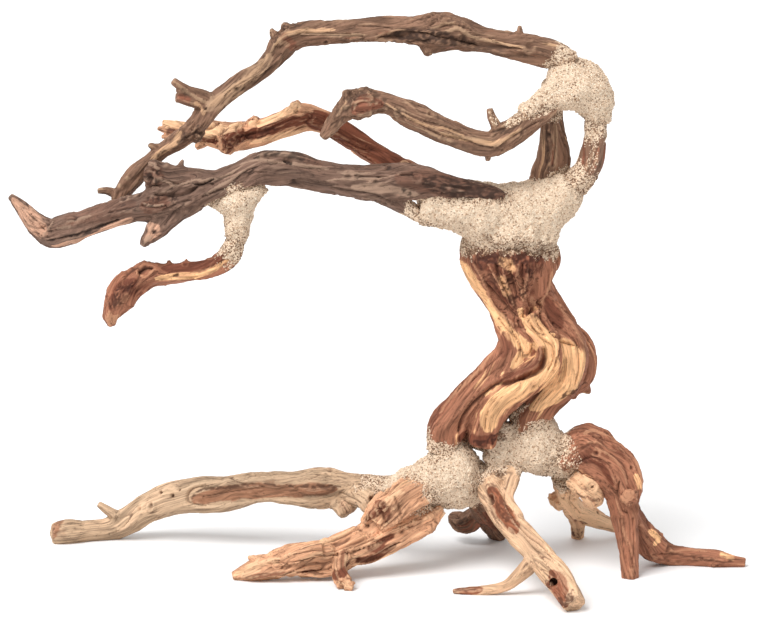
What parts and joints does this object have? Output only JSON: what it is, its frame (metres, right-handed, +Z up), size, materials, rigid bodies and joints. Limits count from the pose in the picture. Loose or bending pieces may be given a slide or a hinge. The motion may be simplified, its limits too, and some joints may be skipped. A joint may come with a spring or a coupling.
{
  "type": "bonsai driftwood tree",
  "caption": "Small tree built of driftwood branches and roots, glued together with sand-coated joints, standing on spread roots.",
  "frame": {"origin": "on the surface that the roots stand on, below the middle of the whole tree's box", "axes": "+X to the right as seen from the front, along the tree's longest side; +Y away from the front; +Z up"},
  "size_m": [0.3688, 0.144, 0.2834],
  "materials": {
    "dark_bark": "matte",
    "grey_bark": "matte",
    "red_wood": "matte",
    "orange_wood": "matte",
    "pale_wood": "matte",
    "tan_wood": "matte",
    "sand": "matte"
  },
  "bodies": {
    "root": {"trunk": "red_wood", "long_branch": "grey_bark", "top_branch": "dark_bark", "back_branch": "orange_wood", "middle_branch": "dark_bark", "rear_strut": "dark_bark", "right_strut": "dark_bark", "hanging_twig": "red_wood", "left_root": "tan_wood", "front_left_root": "orange_wood", "front_root": "pale_wood", "back_root": "dark_bark", "arch_root": "red_wood", "pale_root": "tan_wood", "upper_joint": "sand", "crown_joint": "sand", "twig_joint": "sand", "left_foot_joint": "sand", "right_foot_joint": "sand"}
  },
  "joints": []
}
